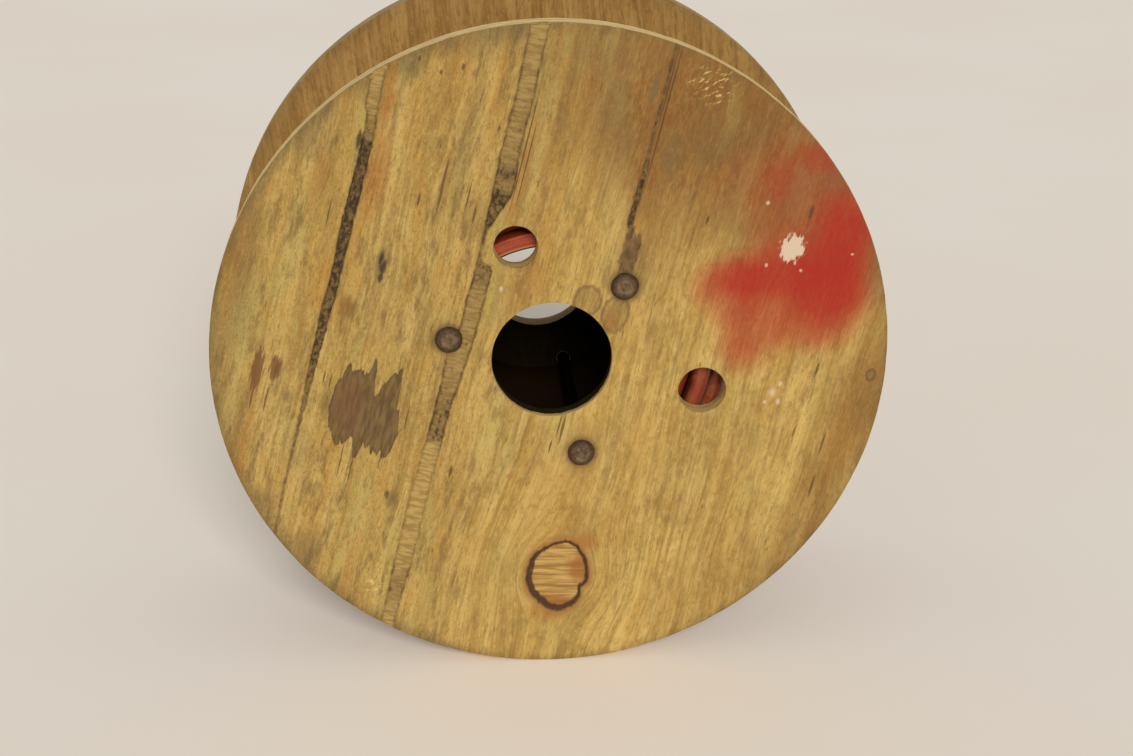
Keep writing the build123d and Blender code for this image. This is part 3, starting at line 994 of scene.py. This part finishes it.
def chips_and_scrapes(face, colour):
    """White chips and slanting pale scrapes."""
    slanted = face.turn(face.turned, SCRAPE_TURN)
    strokes = face.rise(face.noise(slanted, (1.5, 9, 4.5), 2, 0.5), 0.55, 0.66)
    scraped = face.times(strokes, face.marks(SCRAPES, 0.5, face.coarse, 1.4))
    colour = face.tint(colour, scraped, 0.8, srgb(218, 188, 116))
    flecks = face.times(face.marks(WHITE_FLECKS, 0.6, face.coarse, 1.4), 0.75)
    chips = face.math("MAXIMUM", face.marks([WHITE_CHIP], 0.22, face.coarse, 2.4), flecks)
    return face.tint(colour, chips, 0.93, srgb(216, 194, 165))


def front_plywood():
    """Golden weathered veneer with splits, stains, a knot, a torn patch and red spray paint."""
    face = WeatheredFace("front_plywood")
    light, middle, dark = srgb(210, 177, 101), srgb(187, 151, 76), srgb(140, 107, 51)
    plain, relief = wood_grain(face, face.parted, light, middle, dark)
    colour = face.tint(plain, face.stain("brown", 0.7), 0.95, srgb(129, 86, 38))
    colour = grimy_wood(face, colour)
    colour = bolt_stains(face, colour)
    spread = face.line(face.fine, 0.22, face.line(face.coarse, 0.22, face.field("paint")))
    paint = face.math("MINIMUM", face.math("MAXIMUM", spread, 0.0), 0.95)
    colour = face.mix(paint, colour, srgb(166, 28, 14))
    for layer in (cracked_wood, torn_patch, bare_splits, knot_hole, chips_and_scrapes):
        colour = layer(face, colour)

    # Plain inner side, sawn edges, and a black arbor wall behind a pale edge
    y = face.part(face.straight, "Y")
    plain = face.mix(0.35, plain, srgb(136, 97, 49))
    colour = face.mix(face.rise(y, FRONT_Y + 4, FRONT_Y + 3), plain, colour)
    tints = (srgb(232, 203, 145), srgb(210, 175, 114), srgb(225, 195, 134), srgb(178, 147, 88))
    colour, relief = sawn_edge(face, face.straight, colour, relief, FRONT_Y, tints)
    black = face.rise(face.line(face.coarse, 3, y), FRONT_Y + 3, FRONT_Y + 4.4)
    black = face.times(black, face.rise(face.radius, ARBOR_RADIUS + 2, ARBOR_RADIUS + 1))
    colour = face.tint(colour, black, 0.96, srgb(20, 15, 9))
    specular = face.line(black, -0.3, 0.3)
    return face.finish(colour, face.line(paint, -0.2, 0.82), relief, 0.35, 0.8, specular)


def rear_plywood():
    """Browner plain veneer of the far flange, with painted shade making it dark where the tube closes on it.
    """
    nodes = Nodes("rear_plywood")
    straight = nodes.place()
    reach = nodes.reach(straight)
    turned = nodes.turn(straight, -REAR_GRAIN_LEAN)
    wander = nodes.times(nodes.swing(turned, (80, 90, 130), 1), 22)
    place = nodes.vector("ADD", turned, nodes.add("CombineXYZ", {"X": wander}))
    colour, relief = wood_grain(nodes, place, srgb(175, 138, 74), srgb(155, 116, 56), srgb(121, 84, 38))
    grimy = nodes.noise(turned, (26, 20, 34), 3, 0.6)
    border = nodes.rise(nodes.line(grimy, 34, reach), RIM_RADIUS + 3, RIM_RADIUS + 26)
    colour = nodes.tint(colour, border, 0.5, srgb(114, 92, 58))
    flecks = nodes.rise(nodes.noise(place, (1.5, 9, 9.5), 2, 0.55), 0.68, 0.77)
    colour = nodes.tint(colour, flecks, 0.5, srgb(88, 62, 36))
    bolts = nodes.spots(straight, [(*bolt_centre(number), 13, 14) for number in BOLTS], 0.4)
    colour = nodes.tint(colour, bolts, 0.4, srgb(101, 75, 51))
    # Painted shade: the inner side within the tube is made near black, with its shine lowered
    inner_side = nodes.rise(nodes.part(straight, "Y"), rear_low[1] + 0.4, rear_low[1] + 0.1)
    painted_tube_shade = nodes.times(inner_side, nodes.rise(reach, TUBE_RADIUS, TUBE_RADIUS - 9))
    colour = nodes.tint(colour, painted_tube_shade, 0.97, srgb(14, 11, 7))
    tints = (srgb(184, 160, 114), srgb(145, 116, 75), srgb(164, 145, 106), srgb(153, 127, 79))
    colour, relief = sawn_edge(nodes, straight, colour, relief, REAR_Y, tints)
    return nodes.finish(colour, 0.84, relief, 0.35, 0.8, nodes.line(painted_tube_shade, -0.3, 0.3))


def fibre_tube():
    """Wound red-brown fibre, with its layers showing on the ends and painted shade making its inside dark.
    """
    nodes = Nodes("fibre_tube")
    place = nodes.place()
    reach = nodes.reach(place)
    wander = nodes.noise(place, (30, 30, 30))
    layers = nodes.noise(nodes.add("CombineXYZ", {"X": reach, "Y": 0.0, "Z": wander}), (1.1, 1, 3), 3)
    pulp = nodes.noise(place, (5, 5, 5), 4, 0.65)
    inner = TUBE_RADIUS - TUBE_WALL
    colour = nodes.mix(nodes.rise(layers, 0.35, 0.65), srgb(147, 42, 21), srgb(169, 71, 33))
    colour = nodes.layers(colour, (
        (pulp, 0.45, 0.7, 0.22, srgb(184, 110, 58)),
        (reach, inner + 2.2, inner + 1.2, 0.8, srgb(188, 138, 69)),
        # Painted shade: the inside of the tube is made near black, with its shine lowered below
        (reach, inner + 1.2, inner + 0.5, 0.97, srgb(13, 10, 6)),
    ))
    specular = nodes.times(nodes.rise(reach, inner, inner + 1), 0.5)
    return nodes.finish(colour, 0.5, nodes.math("ADD", layers, pulp), 0.3, 0.6, specular)


def cable_sheath():
    """Orange-red sheath with scuffs, dust and painted shade where the turns touch."""
    nodes = Nodes("cable_sheath")
    place = nodes.place()
    dust = nodes.noise(place, (16, 16, 16), 4, 0.6)
    scuffs = nodes.noise(place, (2.2, 2.2, 2.2), 3, 0.65)
    winding = nodes.add("CombineXYZ", {"X": nodes.reach(place), "Y": nodes.part(place, "Y"), "Z": dust})
    lines = nodes.noise(winding, (0.9, 0.9, 0.5), 2)
    colour = nodes.mix(nodes.rise(dust, 0.3, 0.7), srgb(142, 53, 24), srgb(158, 84, 40))
    colour = nodes.layers(colour, (
        (lines, 0.5, 0.68, 0.6, srgb(92, 47, 21)),
        (scuffs, 0.58, 0.72, 0.35, srgb(188, 121, 82)),
        (dust, 0.55, 0.75, 0.25, srgb(108, 75, 38)),
    ))
    # Painted shade where the turns touch: below them, beside them and under the outer layer
    colour = nodes.tint(colour, nodes.field("painted_contact_shade"), 0.88, srgb(34, 22, 13))
    return nodes.finish(colour, nodes.line(dust, 0.35, 0.22), scuffs, 0.08, 0.5)


def rusty_steel():
    """Brown rust with darker and paler spots, dust in the heads' dishes, painted shade on the heads' rims,
    and painted shade making it black between the flanges.
    """
    nodes = Nodes("rusty_steel")
    place = nodes.place()
    y = nodes.part(place, "Y")
    scale = nodes.noise(place, (2.6, 2.6, 2.6), 5, 0.65)
    spots = nodes.noise(place, (0.8, 0.8, 0.8), 3, 0.6)
    colour = nodes.mix(nodes.rise(scale, 0.36, 0.64), srgb(66, 47, 27), srgb(103, 75, 44))
    colour = nodes.layers(colour, (
        (spots, 0.56, 0.72, 0.6, srgb(116, 85, 53)),
        (spots, 0.44, 0.3, 0.5, srgb(51, 36, 23)),
    ))
    crowns, discs, hearts = (
        nodes.spots(place, [(*bolt_centre(number), radius, radius) for number in BOLTS], soft)
        for radius, soft in ((6.4, 0.14), (4.6, 0.15), (2.6, 0.3))
    )
    in_front = nodes.rise(y, FRONT_Y + 1, FRONT_Y)
    # Painted shade on the sloping rims of the bolts' heads, in front of the flange
    painted_rim_shade = nodes.times(nodes.math("SUBTRACT", 1.0, crowns), in_front)
    colour = nodes.tint(colour, painted_rim_shade, 0.6, srgb(49, 35, 23))
    # Painted shade: near black between the flanges, with the shine taken away below
    past_front = nodes.rise(y, front_high[1] - 1, front_high[1])
    between = nodes.times(past_front, nodes.rise(y, rear_low[1] + 1, rear_low[1]))
    colour = nodes.mix(between, colour, srgb(11, 9, 6))
    dishes = nodes.math("SUBTRACT", discs, nodes.times(hearts, 0.6))
    dusty = nodes.times(nodes.times(dishes, in_front), nodes.rise(scale, 0.3, 0.6))
    colour = nodes.tint(colour, dusty, 0.45, srgb(151, 125, 90))
    specular, metallic = nodes.line(between, -0.4, 0.4), nodes.line(between, -0.1, 0.1)
    relief = nodes.math("ADD", scale, spots)
    return nodes.finish(colour, nodes.line(scale, 0.3, 0.5), relief, 0.35, 0.8, specular, metallic)


# Stage

def pale_floor():
    """Seamless pale sheet that the drum stands on."""
    nodes = Nodes("pale_floor")
    tone = nodes.noise(nodes.place(), (420, 420, 420), 3)
    colour = nodes.mix(nodes.rise(tone, 0.3, 0.7), srgb(252, 242, 228), srgb(254, 245, 233))
    half, z = FLOOR_HALF * MM, FLOOR_Z * MM
    corners = [(-half, -half, z), (half, -half, z), (half, half, z), (-half, half, z)]
    mesh = bpy.data.meshes.new("floor")
    mesh.from_pydata(corners, [], [(0, 1, 2, 3)])
    mesh.materials.append(nodes.finish(colour, 0.9, tone, 0.1, 0.1, specular=0.1))
    floor = bpy.data.objects.new("floor", mesh)
    bpy.context.scene.collection.objects.link(floor)


def studio():
    """Soft light from all round, a broad low lamp from the front and a plain pale horizon."""
    world = bpy.data.worlds.new("studio")
    world.use_nodes = True
    nodes, links = world.node_tree.nodes, world.node_tree.links
    background = nodes["Background"]
    background.inputs["Color"].default_value = WORLD_COLOUR
    background.inputs["Strength"].default_value = WORLD_STRENGTH
    horizon = nodes.new("ShaderNodeBackground")
    horizon.inputs["Color"].default_value = srgb(219, 209, 196)
    seen = nodes.new("ShaderNodeMixShader")
    links.new(nodes.new("ShaderNodeLightPath").outputs["Is Camera Ray"], seen.inputs[0])
    links.new(background.outputs[0], seen.inputs[1])
    links.new(horizon.outputs[0], seen.inputs[2])
    links.new(seen.outputs[0], nodes["World Output"].inputs["Surface"])
    bpy.context.scene.world = world
    lamp = bpy.data.lights.new("front_lamp", "SUN")
    lamp.energy, lamp.angle = LAMP_ENERGY, LAMP_ANGLE
    light = bpy.data.objects.new("front_lamp", lamp)
    light.rotation_euler = LAMP_TURN
    bpy.context.scene.collection.objects.link(light)
    bpy.context.scene.view_settings.view_transform = "Standard"


def photo_camera():
    """Camera where the photograph was taken from."""
    data = bpy.data.cameras.new("photo_camera")
    data.sensor_fit, data.sensor_width, data.lens = "HORIZONTAL", CAMERA_SENSOR, CAMERA_LENS
    data.clip_start = CAMERA_NEAR * MM
    camera = bpy.data.objects.new("photo_camera", data)
    camera.location = [value * MM for value in CAMERA_PLACE]
    camera.rotation_euler = (pi / 2 - CAMERA_PITCH, 0, -CAMERA_YAW)
    bpy.context.scene.collection.objects.link(camera)
    bpy.context.scene.camera = camera


front_flange(front_plywood())
rear_flange(rear_plywood())
cable_turns(cable_sheath())
frame["nodes"]["barrel_tube"].data.materials.clear()
frame["nodes"]["barrel_tube"].data.materials.append(fibre_tube())
steel = rusty_steel()
for bolt_number in BOLTS:
    rusty_bolt(bolt_number, steel)
    rusty_washer(bolt_number, steel)
    rusty_nut(bolt_number, steel)
pale_floor()
studio()
photo_camera()
